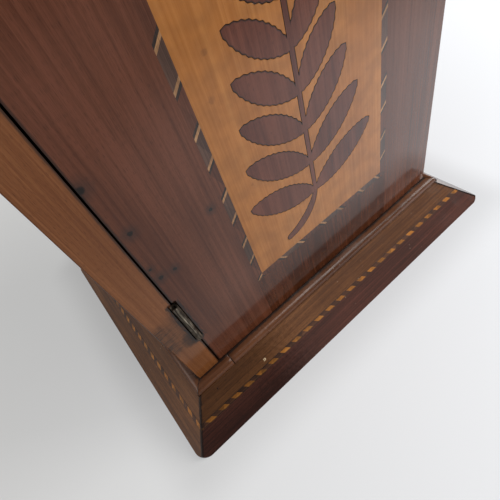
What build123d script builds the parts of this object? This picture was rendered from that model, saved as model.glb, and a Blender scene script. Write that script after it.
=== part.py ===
from build123d import *
from math import ceil, cos, exp, hypot, pi, radians, sin, tan
import os

# An upright table box in mahogany. The carcass stands on a splayed plinth with a chequered line,
# and a side-hung door carries the marquetry panel. Origin: middle of the footprint, on the table.
# +X is the door's free side, -Y is the front, +Z is up. Millimetres.

os.makedirs("parts", exist_ok=True)

# Carcass
carcass_width = 200.0
carcass_depth = 150.0
carcass_height = 264.0
side_thickness = 14.8
back_thickness = 8.0
floor_thickness = 8.0
top_thickness = 12.0
top_overhang = 4.0
top_edge_round = 3.0
arris_round = 0.6

# Plinth and the moulded frame on it
plinth_height = 20.0
plinth_reach = 28.3
plinth_board = 8.0
plinth_corner_round = 8.0
moulding_thickness = 5.0
moulding_width = 32.0
moulding_reach = 6.4
moulding_round = 1.6
slope_set_back = 0.3
moulding_joint_from_left = 20.8
moulding_joint_gap = 0.4
corner_block_size = 26.0
corner_block_height = 16.0

# Chequered line in the plinth
chequer_pitch = 9.7
chequer_light_length = 4.9
chequer_width = 3.0
chequer_drop = 14.2
chequer_long_lead = 4.65
chequer_short_lead = 8.95

# Door
veneer = 1.2
counter_veneer = 0.8
door_core_thickness = 12.0
door_gap = 0.8
door_clearance = 0.4
door_foot_gap = 1.0

# Marquetry panel
panel_margin = 40.3
panel_top_margin = 41.7
panel_side_margin = 45.5
stringing_width = 3.9
stringing_pale = 1.6
stringing_dark = 1.5
stringing_red = 13.0
stringing_grey = 11.8
upright_lead = -1.5
right_upright_lead = -5.1
rail_lead = 2.6
kerf = 0.25

# Leaf sprig, cut from one sheet
stem_offset = -2.1
stem_half_width = 1.2
tail_half_width = 1.9
tail_reach = 21.5
tail_drop = 17.5
tail_upper_bend_reach = 9.7
tail_upper_bend_drop = 9.65
tail_lower_bend_reach = 8.2
tail_lower_bend_drop = 14.95
first_pair_height = 26.0
pair_pitch = 17.7
left_leaf_margin = 6.7
left_leaf_step = 2.35
left_tilt_last = 35.5
right_leaf_margin = 8.6
right_leaf_step = 3.7
right_tilt_last = 52.0
first_tilt = 23.6
left_tilt_pairs = 1.3
right_tilt_pairs = 2.0
leaf_half_width = 6.9
leaf_narrowing = 0.35
leaf_fullness = 0.62
crown_leaf_length = 23.0
crown_leaf_rise = 2.0
crown_margin = 4.0
tooth_pitch = 3.0
tooth_depth = 0.5

# Hinges
hinge_length = 32.0
hinge_margin = 32.4
hinge_leaf_thickness = 1.2
hinge_leaf_width = 12.0
knuckle_radius = 1.8
knuckle_count = 5
knuckle_play = 0.2
pin_radius = 0.95
pin_clearance = 0.05
pin_stand_out = 0.4
pin_sunk = 1.6
knuckle_room = 0.55
recess_overrun = 3.0

# Screws
screw_head_radius = 2.0
screw_shank_radius = 1.1
screw_length = 9.0
screw_point = 2.0
screw_clearance = 0.05
countersink_angle = 82.0
hinge_screw_count = 3

# Lock
lock_height = 134.0
lock_side_gap = 1.9
lock_plate_width = 26.0
lock_plate_height = 44.0
lock_plate_thickness = 1.5
lock_case_height = 28.0
lock_case_depth = 7.0
lock_wall = 1.5
lock_key_backset = 10.0
lock_screw_inset = 4.5
bolt_height = 8.0
bolt_thickness = 3.0
bolt_length = 20.0
bolt_rise = 7.0
bolt_play = 0.3
bolt_throw = 6.0
talon_radius = 2.5
key_radius = 2.4
key_slot_width = 1.8
key_slot_drop = 6.4
key_pin_radius = 1.0
escutcheon_rim = 1.0
escutcheon_depth = 2.6
strike_thickness = 1.0
strike_height = 28.0
strike_width = 10.0
strike_screw_spread = 19.0
strike_front_gap = 0.6

# Shelf
shelf_thickness = 8.0
shelf_rise = 97.0
shelf_play = 0.3
shelf_set_back = 6.0
batten_width = 6.0
batten_height = 8.0

up = Vector(0, 0, 1)
half_width = carcass_width / 2
half_depth = carcass_depth / 2
front = -half_depth
carcass_base = plinth_height + moulding_thickness
carcass_top = carcass_base + carcass_height
inner_left = -half_width + side_thickness
inner_right = half_width - side_thickness
door_thickness = veneer + door_core_thickness + counter_veneer
door_back = front + door_thickness
carcass_front = door_back + door_clearance
door_left = inner_left + door_gap
door_bottom = carcass_base + door_foot_gap
door_top = carcass_top - door_clearance
front_face = Plane(origin=(0, front, 0), x_dir=(1, 0, 0), z_dir=(0, -1, 0))


def block(x_span, y_span, z_span, mode=Mode.ADD):
    """Adds a rectangular block between three pairs of limits to the part being built."""
    middle = tuple(sum(span) / 2 for span in (x_span, y_span, z_span))
    with Locations(middle):
        Box(*(high - low for low, high in (x_span, y_span, z_span)), mode=mode)


def finish(piece, name):
    """Names a finished piece and writes its file."""
    piece.part.label = name
    export_step(piece.part, f"parts/{name}.step")


# Screws: one countersunk wood screw, head at the origin and point down.
head_depth = (screw_head_radius - screw_shank_radius) / tan(radians(countersink_angle / 2))
with BuildPart() as screw_form:
    with BuildSketch(Plane.XZ):
        with BuildLine():
            Polyline(
                (0, 0),
                (screw_head_radius, 0),
                (screw_shank_radius, -head_depth),
                (screw_shank_radius, screw_point - screw_length),
                (0, -screw_length),
                close=True,
            )
        make_face()
    revolve(axis=Axis.Z)


def pilot_holes(places):
    """Cuts the holes that the screws at these places sit in."""
    with Locations(*places):
        Hole(screw_shank_radius + screw_clearance, depth=screw_length + screw_clearance)


def screw_seats(places):
    """Cuts the countersunk holes that the screw heads at these places sit in."""
    with Locations(*places):
        CounterSinkHole(
            screw_shank_radius + screw_clearance,
            screw_head_radius + screw_clearance,
            counter_sink_angle=countersink_angle,
        )


def screws(places):
    """A group of screws at these places."""
    with BuildPart() as group:
        with Locations(*places):
            add(screw_form.part)
    return group


# Plinth: four splayed boards, mitred at the corners and faced with two strips of veneer each.
plinth_top_reach = moulding_reach - slope_set_back
slope_run = plinth_reach - plinth_top_reach
slope_length = hypot(slope_run, plinth_height)
slope_down = Vector(slope_run, -plinth_height) / slope_length
slope_normal = Vector(plinth_height, slope_run) / slope_length
veneer_across = veneer * slope_length / plinth_height
board_across = plinth_board * slope_length / plinth_height
sides = {
    "front": (Vector(0, -1, 0), half_depth, half_width),
    "right": (Vector(1, 0, 0), half_width, half_depth),
    "back": (Vector(0, 1, 0), half_depth, half_width),
    "left": (Vector(-1, 0, 0), half_width, half_depth),
}
chequer_leads = {
    "front": chequer_long_lead,
    "right": chequer_short_lead,
    "back": chequer_long_lead,
    "left": chequer_short_lead,
}


def section_plane(outward):
    """The plane across a side's run: x is the distance outwards, y is the height."""
    return Plane(origin=(0, 0, 0), x_dir=outward, z_dir=outward.cross(up))


def mitre(side):
    """Cuts both ends of the run being built along the upright mitre planes."""
    outward, face, run = sides[side]
    along = up.cross(outward)
    for end in (1, -1):
        corner = outward * face + along * (end * run)
        split(bisect_by=Plane(origin=corner, z_dir=outward - along * end), keep=Keep.TOP)


def slope_point(side, down, depth=0.0):
    """A point of the slope in a side's section, this far down from its top and this deep."""
    face = sides[side][1]
    place = Vector(face + plinth_top_reach, plinth_height) + slope_down * down - slope_normal * depth
    return place.X, place.Y


def plinth_run(side, outline):
    """One mitred length of the plinth with this section, its foot corners worn round."""
    outward, _, run = sides[side]
    with BuildPart() as length:
        with BuildSketch(section_plane(outward)):
            with BuildLine():
                Polyline(*outline, close=True)
            make_face()
        extrude(amount=run + plinth_reach, both=True)
        mitre(side)
        with BuildSketch():
            RectangleRounded(
                carcass_width + 2 * plinth_reach,
                carcass_depth + 2 * plinth_reach,
                plinth_corner_round,
            )
        extrude(amount=plinth_height, mode=Mode.INTERSECT)
    return length


upper_strip_end = chequer_drop - chequer_width / 2
lower_strip_start = chequer_drop + chequer_width / 2
for side, (_, face, _) in sides.items():
    top_out = face + plinth_top_reach
    foot_out = face + plinth_reach
    core_top = top_out - veneer_across
    core_foot = foot_out - veneer_across
    board = plinth_run(
        side,
        [
            (core_top, plinth_height),
            (core_foot, 0),
            (core_foot - board_across, 0),
            (core_top - board_across, plinth_height),
        ],
    )
    finish(board, f"plinth_{side}")
    upper_strip = plinth_run(
        side,
        [
            (top_out, plinth_height),
            slope_point(side, upper_strip_end),
            slope_point(side, upper_strip_end, veneer),
            (core_top, plinth_height),
        ],
    )
    finish(upper_strip, f"plinth_{side}_upper_veneer")
    lower_strip = plinth_run(
        side,
        [
            slope_point(side, lower_strip_start),
            (foot_out, 0),
            (core_foot, 0),
            slope_point(side, lower_strip_start, veneer),
        ],
    )
    finish(lower_strip, f"plinth_{side}_lower_veneer")


def chequer_run(side, first, length):
    """The slanted pieces of one wood in a side's chequered line, cut at the mitres."""
    outward, face, run = sides[side]
    start = outward * (face + plinth_top_reach) + up * plinth_height
    normal = outward * slope_normal.X + up * slope_normal.Y
    slope = Plane(origin=start, x_dir=up.cross(outward), z_dir=normal)
    reach = ceil((run + plinth_reach + chequer_pitch) / chequer_pitch)
    lean = chequer_width / 2
    steps = range(-reach, reach + 1)
    with BuildPart() as pieces:
        with BuildSketch(slope):
            with Locations(*((step * chequer_pitch + first, -chequer_drop) for step in steps)):
                Polygon((-lean, lean), (lean, -lean), (length + lean, -lean), (length - lean, lean))
        extrude(amount=-veneer)
        mitre(side)
    return pieces


with BuildPart() as chequer_light:
    for side in sides:
        add(chequer_run(side, chequer_leads[side], chequer_light_length).part)
finish(chequer_light, "chequer_light")

chequer_dark_length = chequer_pitch - chequer_light_length
with BuildPart() as chequer_dark:
    for side in sides:
        dark_start = chequer_leads[side] + chequer_light_length
        add(chequer_run(side, dark_start, chequer_dark_length).part)
finish(chequer_dark, "chequer_dark")


# Glue blocks: planed to the splay and rubbed into the plinth's inner corners.
def inner_rectangle(height):
    """Length and width of the space inside the plinth at this height."""
    reach = plinth_reach - slope_run * height / plinth_height - veneer_across - board_across
    return carcass_width + 2 * reach, carcass_depth + 2 * reach


with BuildPart() as corner_blocks:
    block_foot = plinth_height - corner_block_height
    with BuildSketch(Plane.XY.offset(block_foot)):
        Rectangle(*inner_rectangle(block_foot))
    with BuildSketch(Plane.XY.offset(plinth_height)):
        Rectangle(*inner_rectangle(plinth_height))
    loft()
    foot_length, foot_width = inner_rectangle(block_foot)
    with BuildSketch(Plane.XY.offset(block_foot)):
        with GridLocations(foot_length - corner_block_size, foot_width - corner_block_size, 2, 2):
            Rectangle(corner_block_size, corner_block_size)
    extrude(amount=corner_block_height, mode=Mode.INTERSECT)
finish(corner_blocks, "corner_blocks")


# Moulded frame: flat strips with a rounded nose, mitred round the foot of the carcass.
def moulding(side):
    """One mitred strip of the moulded frame."""
    outward, face, run = sides[side]
    with BuildPart() as strip:
        with BuildSketch(section_plane(outward)) as profile:
            middle = face + moulding_reach - moulding_width / 2
            with Locations((middle, plinth_height + moulding_thickness / 2)):
                Rectangle(moulding_width, moulding_thickness)
            fillet(profile.vertices().group_by(Axis.X)[-1], moulding_round)
        extrude(amount=run + moulding_reach, both=True)
        mitre(side)
    return strip


moulding_joint = moulding_joint_from_left - half_width
with BuildPart() as moulding_front_short:
    add(moulding("front").part)
    short_end = moulding_joint - moulding_joint_gap / 2
    split(bisect_by=Plane(origin=(short_end, 0, 0), z_dir=(-1, 0, 0)), keep=Keep.TOP)
finish(moulding_front_short, "moulding_front_short")

with BuildPart() as moulding_front_long:
    add(moulding("front").part)
    long_end = moulding_joint + moulding_joint_gap / 2
    split(bisect_by=Plane(origin=(long_end, 0, 0), z_dir=(1, 0, 0)), keep=Keep.TOP)
finish(moulding_front_long, "moulding_front_long")

for side in ("right", "back", "left"):
    finish(moulding(side), f"moulding_{side}")

# Hinge places, shared by the leaves and by the wood that they are let into.
hinge_axis_x = (inner_left + door_left) / 2
hinge_axis_y = front - pin_stand_out
hinge_bottoms = {
    "lower": door_bottom + hinge_margin,
    "upper": door_top - hinge_margin - hinge_length,
}
leaf_back = hinge_axis_y + hinge_leaf_width
screw_row = (hinge_axis_y + knuckle_radius + knuckle_room + leaf_back) / 2
leaf_faces = {"frame": (inner_left, -1), "door": (door_left, 1)}


def hinge_screw_places(leaf, hinge=None):
    """Where the screws of a leaf sit, heads in its face, for one hinge or for both."""
    face, into = leaf_faces[leaf]
    bottoms = [hinge_bottoms[hinge]] if hinge else list(hinge_bottoms.values())
    spacing = hinge_length / hinge_screw_count
    return [
        Location((face, screw_row, bottom + spacing * (number + 0.5)), (0, -into * 90, 0))
        for bottom in bottoms
        for number in range(hinge_screw_count)
    ]


def hinge_recesses(leaf):
    """Cuts the seats of both hinges' leaves and knuckles into the wood being built."""
    face, into = leaf_faces[leaf]
    for bottom in hinge_bottoms.values():
        x_span = sorted((face, face + into * hinge_leaf_thickness))
        block(x_span, (hinge_axis_y, leaf_back), (bottom, bottom + hinge_length), Mode.SUBTRACT)
        with BuildSketch(Plane.XY.offset(bottom - knuckle_room)) as groove:
            with Locations((hinge_axis_x, hinge_axis_y)):
                Circle(knuckle_radius + knuckle_room)
        groove_length = hinge_length + knuckle_room + recess_overrun
        extrude(groove.sketch, amount=groove_length, mode=Mode.SUBTRACT)


# Lock places, shared by the door, the lock and the side that the bolt shoots into.
lock_middle = carcass_base + lock_height
lock_right = inner_right - lock_side_gap
lock_left = lock_right - lock_plate_width
key_x = lock_right - lock_key_backset
bolt_middle = lock_middle + bolt_rise
bolt_y = door_back + lock_plate_thickness + bolt_play + bolt_thickness / 2
lock_screw_places = [
    Location((x, door_back + lock_plate_thickness, z), (-90, 0, 0))
    for x in (lock_left + lock_screw_inset, lock_right - lock_screw_inset)
    for z in (
        lock_middle - lock_plate_height / 2 + lock_screw_inset,
        lock_middle + lock_plate_height / 2 - lock_screw_inset,
    )
]
strike_y = (carcass_front + strike_front_gap, carcass_front + strike_front_gap + strike_width)
strike_screw_places = [
    Location((inner_right, sum(strike_y) / 2, bolt_middle + offset), (0, -90, 0))
    for offset in (-strike_screw_spread / 2, strike_screw_spread / 2)
]


def bolt_passage(x_span):
    """Cuts the way that the bolt slides through."""
    y_reach = bolt_thickness / 2 + bolt_play
    z_reach = bolt_height / 2 + bolt_play
    y_span = (bolt_y - y_reach, bolt_y + y_reach)
    block(x_span, y_span, (bolt_middle - z_reach, bolt_middle + z_reach), Mode.SUBTRACT)


def keyhole(grow=0.0):
    """Adds the outline of the keyhole, grown by this much, to the sketch being built."""
    with Locations((key_x, lock_middle)):
        Circle(key_radius + grow)
    with Locations((key_x, lock_middle - key_slot_drop / 2)):
        Rectangle(key_slot_width + 2 * grow, key_slot_drop + 2 * grow)


# Carcass: two sides, back between them, floor, and a top that covers them all.
carcass_z = (carcass_base, carcass_top)
with BuildPart() as side_left:
    block((-half_width, inner_left), (front + veneer, half_depth), carcass_z)
    hinge_recesses("frame")
    pilot_holes(hinge_screw_places("frame"))
finish(side_left, "side_left")

with BuildPart() as stile_veneer:
    block((-half_width, inner_left), (front, front + veneer), carcass_z)
    hinge_recesses("frame")
    worn = stile_veneer.edges().filter_by(Axis.Z).group_by(Axis.X)[0].group_by(Axis.Y)[0]
    fillet(worn, arris_round)
finish(stile_veneer, "stile_veneer")

with BuildPart() as side_right:
    block((inner_right, half_width), (carcass_front, half_depth), carcass_z)
    strike_z = (bolt_middle - strike_height / 2, bolt_middle + strike_height / 2)
    strike_x = (inner_right, inner_right + strike_thickness)
    block(strike_x, strike_y, strike_z, Mode.SUBTRACT)
    bolt_passage((inner_right, inner_right + bolt_throw))
    pilot_holes(strike_screw_places)
finish(side_right, "side_right")

with BuildPart() as back_panel:
    block((inner_left, inner_right), (half_depth - back_thickness, half_depth), carcass_z)
finish(back_panel, "back_panel")

inner_y = (carcass_front, half_depth - back_thickness)
floor_top = carcass_base + floor_thickness
with BuildPart() as floor_board:
    block((inner_left, inner_right), inner_y, (carcass_base, floor_top))
finish(floor_board, "floor_board")

with BuildPart() as top_board:
    with BuildSketch(Plane.XY.offset(carcass_top)):
        Rectangle(carcass_width + 2 * top_overhang, carcass_depth + 2 * top_overhang)
    extrude(amount=top_thickness)
    fillet(top_board.edges().group_by(Axis.Z)[-1], top_edge_round)
    fillet(top_board.edges().group_by(Axis.Z)[0], arris_round)
finish(top_board, "top_board")

# Shelf: a loose board on two battens.
shelf_bottom = floor_top + shelf_rise
shelf_front = carcass_front + shelf_set_back
shelf_back = half_depth - back_thickness - shelf_play
with BuildPart() as shelf:
    shelf_x = (inner_left + shelf_play, inner_right - shelf_play)
    block(shelf_x, (shelf_front, shelf_back), (shelf_bottom, shelf_bottom + shelf_thickness))
    fillet(shelf.edges().filter_by(Axis.X).group_by(Axis.Y)[0], arris_round)
finish(shelf, "shelf")

batten_spans = {
    "left": (inner_left, inner_left + batten_width),
    "right": (inner_right - batten_width, inner_right),
}
for side, x_span in batten_spans.items():
    with BuildPart() as batten:
        block(x_span, (shelf_front, shelf_back), (shelf_bottom - batten_height, shelf_bottom))
    finish(batten, f"shelf_batten_{side}")

# Door: a core board, counter veneer behind, and the marquetry on its face.
door_z = (door_bottom, door_top)
core_y = (front + veneer, front + veneer + door_core_thickness)
with BuildPart() as door_core:
    block((door_left, half_width), core_y, door_z)
    hinge_recesses("door")
    pilot_holes(hinge_screw_places("door"))
    pilot_holes(lock_screw_places)
    with BuildSketch(front_face):
        keyhole()
    extrude(amount=-door_thickness, mode=Mode.SUBTRACT)
    with BuildSketch(front_face):
        keyhole(escutcheon_rim)
    extrude(amount=-escutcheon_depth, mode=Mode.SUBTRACT)
finish(door_core, "door_core")

with BuildPart() as door_counter_veneer:
    block((door_left, half_width), (door_back - counter_veneer, door_back), door_z)
    pilot_holes(lock_screw_places)
    hinge_recesses("door")
    with BuildSketch(front_face):
        keyhole()
    extrude(amount=-door_thickness, mode=Mode.SUBTRACT)
finish(door_counter_veneer, "door_counter_veneer")

face_y = (front, front + veneer)
ground_left = door_left + panel_side_margin
ground_right = half_width - panel_side_margin
ground_bottom = carcass_base + panel_margin
ground_top = carcass_top - panel_top_margin
border_left = ground_left - stringing_width
border_right = ground_right + stringing_width
border_bottom = ground_bottom - stringing_width
border_top = ground_top + stringing_width

with BuildPart() as door_veneer_left:
    block((door_left, border_left), face_y, door_z)
    hinge_recesses("door")
finish(door_veneer_left, "door_veneer_left")

with BuildPart() as door_veneer_right:
    block((border_right, half_width), face_y, door_z)
    worn = door_veneer_right.edges().filter_by(Axis.Z).group_by(Axis.X)[-1].group_by(Axis.Y)[0]
    fillet(worn, arris_round)
    with BuildSketch(front_face):
        keyhole(escutcheon_rim)
    extrude(amount=-veneer, mode=Mode.SUBTRACT)
finish(door_veneer_right, "door_veneer_right")

with BuildPart() as door_veneer_bottom:
    block((border_left, border_right), face_y, (door_bottom, border_bottom))
finish(door_veneer_bottom, "door_veneer_bottom")

with BuildPart() as door_veneer_top:
    block((border_left, border_right), face_y, (border_top, door_top))
finish(door_veneer_top, "door_veneer_top")

# Stringing: a built-up line of slanted pieces in four woods, round the panel.
stringing_lengths = {
    "pale": stringing_pale,
    "dark": stringing_dark,
    "red": stringing_red,
    "grey": stringing_grey,
}
stringing_order = ["pale", "dark", "red", "dark", "pale", "grey"]
stringing_repeat = sum(stringing_lengths[wood] for wood in stringing_order)
upright_run = border_top - border_bottom
rail_run = ground_right - ground_left
stringing_lines = [
    (border_left, border_bottom, Vector(0, 1), upright_run, 1, upright_lead),
    (ground_right, border_bottom, Vector(0, 1), upright_run, 1, right_upright_lead),
    (ground_left, border_bottom, Vector(1, 0), rail_run, -1, rail_lead - stringing_width),
    (ground_left, ground_top, Vector(1, 0), rail_run, 1, rail_lead - stringing_width),
]


def stringing_pieces(wood, line):
    """The outlines of one wood's pieces in one line of stringing."""
    x, y, along, run, lean, lead = line
    across = Vector(along.Y, along.X)
    corner = Vector(x, y)
    slant = lean * stringing_width
    shift = along * slant + across * stringing_width
    end = along * stringing_lengths[wood]
    starts = []
    start = lead - stringing_repeat
    for piece_wood in stringing_order * (ceil(run / stringing_repeat) + 2):
        if piece_wood == wood:
            starts.append(corner + along * start)
        start += stringing_lengths[piece_wood]
    with BuildSketch() as pieces:
        with Locations(*starts):
            Polygon((0, 0), end, end + shift, shift)
        with Locations(corner + along * (run / 2) + across * (stringing_width / 2)):
            width, height = (run, stringing_width) if along.X else (stringing_width, run)
            Rectangle(width, height, mode=Mode.INTERSECT)
    return pieces


for wood in stringing_lengths:
    with BuildPart() as stringing:
        with BuildSketch(front_face):
            for line in stringing_lines:
                add(stringing_pieces(wood, line).sketch)
        extrude(amount=-veneer)
    finish(stringing, f"stringing_{wood}")

# Sprig: leaflets in pairs up a stem with a curled tail, sawn in one piece with a toothed edge.
stem_x = (ground_left + ground_right) / 2 + stem_offset
first_height = ground_bottom + first_pair_height
last_height = ground_top - crown_margin - crown_leaf_length - crown_leaf_rise
pair_count = int((last_height - first_height) / pair_pitch) + 1
pair_heights = [first_height + pair_pitch * pair for pair in range(pair_count)]
crown_root = pair_heights[-1] + crown_leaf_rise
first_leaf_run = cos(radians(first_tilt))
left_leaf_length = (stem_x - ground_left - left_leaf_margin) / first_leaf_run
right_leaf_length = (ground_right - stem_x - right_leaf_margin) / first_leaf_run


def leaflet(root_height, turn, length, half_across, grow):
    """Adds one leaflet, toothed all round, whose midrib leaves the stem at this angle."""
    steps = 2 * round(length / tooth_pitch)
    edge = []
    for step in range(1, steps):
        share = step / steps
        tooth = tooth_depth / 2 if step % 2 else -tooth_depth / 2
        edge.append((share * length, half_across * sin(pi * share) ** leaf_fullness + tooth + grow))
    ring = [(-grow, 0), *edge, (length + grow, 0), *((x, -y) for x, y in reversed(edge))]
    root = Vector(stem_x, root_height)
    with BuildLine() as rim:
        Polyline(*(root + Vector(x, y).rotate(Axis.Z, turn) for x, y in ring), close=True)
    make_face(rim.edges())


def sprig_outline(grow=0.0):
    """The outline of the sprig, grown by this much."""
    stem_side = stem_half_width + grow
    tail_side = tail_half_width + grow
    tail_root = Vector(stem_x, first_height)
    tail_end = tail_root - Vector(tail_reach, tail_drop)
    bend_inner = tail_root - Vector(tail_upper_bend_reach, tail_upper_bend_drop - grow)
    bend_outer = tail_root - Vector(tail_lower_bend_reach, tail_lower_bend_drop + grow)
    with BuildSketch() as outline:
        with BuildLine():
            Line((stem_x - stem_side, crown_root), (stem_x - stem_side, first_height))
            ThreePointArc(
                (stem_x - stem_side, first_height), bend_inner, tail_end + Vector(0, tail_side)
            )
            ThreePointArc(
                tail_end + Vector(0, tail_side),
                tail_end + Vector(-tail_side, 0),
                tail_end + Vector(0, -tail_side),
            )
            ThreePointArc(
                tail_end + Vector(0, -tail_side), bend_outer, (stem_x + stem_side, first_height)
            )
            Line((stem_x + stem_side, first_height), (stem_x + stem_side, crown_root))
            Line((stem_x + stem_side, crown_root), (stem_x - stem_side, crown_root))
        make_face()
        for pair, height in enumerate(pair_heights):
            half_across = leaf_half_width - leaf_narrowing * pair
            left_tilt = left_tilt_last - (left_tilt_last - first_tilt) * exp(-pair / left_tilt_pairs)
            right_tilt = right_tilt_last - (right_tilt_last - first_tilt) * exp(
                -pair / right_tilt_pairs
            )
            left_length = left_leaf_length - left_leaf_step * pair
            right_length = right_leaf_length - right_leaf_step * pair
            leaflet(height, 180 - left_tilt, left_length, half_across, grow)
            leaflet(height, right_tilt, right_length, half_across, grow)
        crown_half = leaf_half_width - leaf_narrowing * pair_count
        leaflet(crown_root, 90, crown_leaf_length, crown_half, grow)
    return outline


with BuildPart() as sprig:
    with BuildSketch(front_face):
        add(sprig_outline().sketch)
    extrude(amount=-veneer)
finish(sprig, "sprig")

with BuildPart() as panel_ground:
    with BuildSketch(front_face):
        with Locations(((ground_left + ground_right) / 2, (ground_bottom + ground_top) / 2)):
            Rectangle(ground_right - ground_left, ground_top - ground_bottom)
        add(sprig_outline(kerf).sketch, mode=Mode.SUBTRACT)
    extrude(amount=-veneer)
finish(panel_ground, "panel_ground")


# Hinges: brass butts with five knuckles, each leaf let in flush and held by three screws.
def hinge_leaf(leaf, hinge, knuckles):
    """One leaf with its own knuckles, cleared for the knuckles of the other leaf."""
    face, into = leaf_faces[leaf]
    bottom = hinge_bottoms[hinge]
    pitch = hinge_length / knuckle_count
    x_span = sorted((face, face + into * hinge_leaf_thickness))
    hole = pin_radius + pin_clearance
    with BuildPart() as piece:
        clear_back = hinge_axis_y + knuckle_radius + knuckle_room
        block(x_span, (clear_back, leaf_back), (bottom, bottom + hinge_length))
        for number in knuckles:
            low = bottom + number * pitch + knuckle_play / 2
            z_span = (low, low + pitch - knuckle_play)
            block(x_span, (hinge_axis_y + hole, clear_back), z_span)
            with BuildSketch(Plane.XY.offset(low)):
                with Locations((hinge_axis_x, hinge_axis_y)):
                    Circle(knuckle_radius)
                    Circle(hole, mode=Mode.SUBTRACT)
            extrude(amount=pitch - knuckle_play)
        screw_seats(hinge_screw_places(leaf, hinge))
    return piece


for hinge, bottom in hinge_bottoms.items():
    finish(hinge_leaf("frame", hinge, range(0, knuckle_count, 2)), f"hinge_{hinge}_frame_leaf")
    finish(hinge_leaf("door", hinge, range(1, knuckle_count, 2)), f"hinge_{hinge}_door_leaf")
    with BuildPart() as hinge_pin:
        with BuildSketch(Plane.XY.offset(bottom)):
            with Locations((hinge_axis_x, hinge_axis_y)):
                Circle(pin_radius)
        extrude(amount=hinge_length - pin_sunk)
    finish(hinge_pin, f"hinge_{hinge}_pin")

finish(screws(hinge_screw_places("frame")), "hinge_frame_screws")
finish(screws(hinge_screw_places("door")), "hinge_door_screws")

# Lock: a brass cupboard lock on the door's back, with a sliding bolt and a pin for the key.
key_room = lock_case_depth - lock_wall
with BuildPart() as lock_case:
    case_x = (lock_left, lock_right)
    plate_reach = lock_plate_height / 2
    case_reach = lock_case_height / 2
    plate_y = (door_back, door_back + lock_plate_thickness)
    block(case_x, plate_y, (lock_middle - plate_reach, lock_middle + plate_reach))
    case_y = (door_back, door_back + lock_case_depth)
    block(case_x, case_y, (lock_middle - case_reach, lock_middle + case_reach))
    fillet(lock_case.edges().group_by(Axis.Y)[-1], arris_round)
    bolt_passage((lock_left + lock_wall, lock_right))
    with BuildSketch(Plane(origin=(0, door_back, 0), x_dir=(1, 0, 0), z_dir=(0, -1, 0))):
        keyhole(bolt_play)
    extrude(amount=-key_room, mode=Mode.SUBTRACT)
    screw_seats(lock_screw_places)
finish(lock_case, "lock_case")

with BuildPart() as lock_bolt:
    bolt_y_span = (bolt_y - bolt_thickness / 2, bolt_y + bolt_thickness / 2)
    bolt_z_span = (bolt_middle - bolt_height / 2, bolt_middle + bolt_height / 2)
    block((lock_right - bolt_length, lock_right), bolt_y_span, bolt_z_span)
    fillet(lock_bolt.edges().filter_by(Axis.Y).group_by(Axis.X)[-1], arris_round)
    with BuildSketch(Plane.XZ.offset(-bolt_y)):
        with Locations((key_x, bolt_z_span[0])):
            Circle(talon_radius)
    extrude(amount=bolt_thickness, both=True, mode=Mode.SUBTRACT)
finish(lock_bolt, "lock_bolt")

with BuildPart() as lock_key_pin:
    key_pin_length = key_room + counter_veneer
    with BuildSketch(Plane.XZ.offset(-door_back - key_room)):
        with Locations((key_x, lock_middle)):
            Circle(key_pin_radius)
    extrude(amount=key_pin_length)
finish(lock_key_pin, "lock_key_pin")

finish(screws(lock_screw_places), "lock_screws")

with BuildPart() as keyhole_escutcheon:
    with BuildSketch(front_face):
        keyhole(escutcheon_rim)
    extrude(amount=-escutcheon_depth)
    with BuildSketch(front_face):
        keyhole()
    extrude(amount=-escutcheon_depth, mode=Mode.SUBTRACT)
finish(keyhole_escutcheon, "keyhole_escutcheon")

with BuildPart() as strike_plate:
    block(strike_x, strike_y, strike_z)
    bolt_passage(strike_x)
    screw_seats(strike_screw_places)
finish(strike_plate, "strike_plate")

finish(screws(strike_screw_places), "strike_screws")
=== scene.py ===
import bmesh
import bpy
import math
import random
from mathutils import Matrix, Vector, noise


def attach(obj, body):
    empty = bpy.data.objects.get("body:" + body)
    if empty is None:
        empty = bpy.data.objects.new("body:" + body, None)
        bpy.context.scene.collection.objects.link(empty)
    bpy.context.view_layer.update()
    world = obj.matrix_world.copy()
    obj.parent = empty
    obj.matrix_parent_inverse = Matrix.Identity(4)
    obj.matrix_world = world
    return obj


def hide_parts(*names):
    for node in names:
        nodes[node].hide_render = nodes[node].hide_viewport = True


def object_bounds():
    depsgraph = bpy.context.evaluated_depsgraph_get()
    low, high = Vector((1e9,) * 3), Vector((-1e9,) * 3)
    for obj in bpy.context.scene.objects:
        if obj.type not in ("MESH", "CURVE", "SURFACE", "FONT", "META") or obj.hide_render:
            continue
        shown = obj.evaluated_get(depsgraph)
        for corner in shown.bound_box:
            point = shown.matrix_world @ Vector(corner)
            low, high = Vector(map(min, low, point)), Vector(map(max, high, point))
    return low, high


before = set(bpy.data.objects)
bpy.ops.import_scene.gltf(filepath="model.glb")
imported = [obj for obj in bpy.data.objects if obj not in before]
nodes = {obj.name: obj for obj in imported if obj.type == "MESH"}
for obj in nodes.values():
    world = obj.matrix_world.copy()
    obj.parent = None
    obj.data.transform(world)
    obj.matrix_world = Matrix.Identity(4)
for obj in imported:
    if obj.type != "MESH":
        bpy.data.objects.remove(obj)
cad_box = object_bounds()
mm = 0.001


# Carcass boards.
# Mahogany sides, back, floor, shelf and top, sawn from one log and French-polished outside.
# The inner faces and the parts that nobody sees are planed and left with a thin coat.
def put(tree, kind, inputs=(), **settings):
    """Adds a shader node, fills or links its inputs, and gives it back."""
    made = tree.nodes.new("ShaderNode" + kind)
    for key, value in settings.items():
        setattr(made, key, value)
    for socket, value in dict(inputs).items():
        if isinstance(value, bpy.types.NodeSocket):
            tree.links.new(value, made.inputs[socket])
        else:
            made.inputs[socket].default_value = value
    return made


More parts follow.
